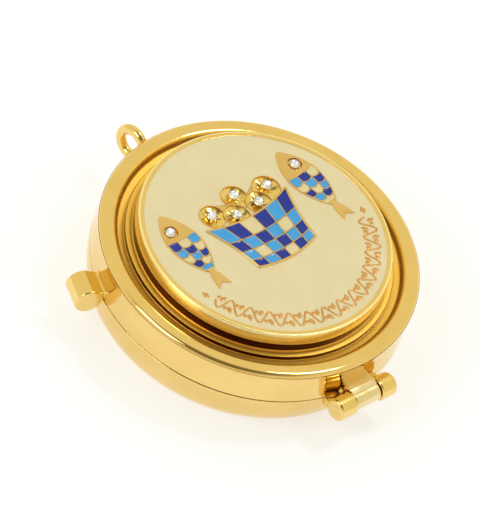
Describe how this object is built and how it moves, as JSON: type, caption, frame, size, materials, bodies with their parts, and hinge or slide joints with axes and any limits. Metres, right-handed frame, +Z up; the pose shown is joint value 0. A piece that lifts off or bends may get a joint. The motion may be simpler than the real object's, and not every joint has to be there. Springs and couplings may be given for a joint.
{
  "type": "pyx",
  "caption": "Shallow round hinged box for hosts, with a stepped lid, an enamelled medallion, a thumb catch and a cord ring.",
  "frame": {"origin": "centre of the flat underside of the base", "axes": "+Z up through the lid's medallion, -Y towards the hinge, +X along the hinge pin"},
  "size_m": [0.0574, 0.0638, 0.0178],
  "materials": {
    "gold": "polished gold plate",
    "enamel_cream": "gloss enamel",
    "enamel_dark_blue": "gloss enamel",
    "enamel_light_blue": "gloss enamel",
    "crystal": "clear, facetted"
  },
  "bodies": {
    "base": {"base_shell": "gold", "base_collar": "gold", "hinge_knuckle_left": "gold", "hinge_knuckle_right": "gold", "hinge_pin": "gold"},
    "lid": {"lid_shell": "gold", "hinge_knuckle_middle": "gold", "thumb_catch": "gold", "cord_ring": "gold", "medallion_plate": "gold", "enamel_field": "enamel_cream", "basket_inlay": "enamel_dark_blue", "fish_left_inlay": "enamel_light_blue", "fish_right_inlay": "enamel_light_blue", "stone_1": "crystal", "stone_2": "crystal", "stone_3": "crystal", "stone_4": "crystal", "stone_5": "crystal", "stone_6": "crystal", "stone_7": "crystal"}
  },
  "joints": [
    {"name": "lid_hinge", "type": "hinge", "parent": "base", "child": "lid", "pos_m": [0, -0.029, 0.007], "axis": [1, 0, 0], "range_deg": [0, 110]}
  ]
}
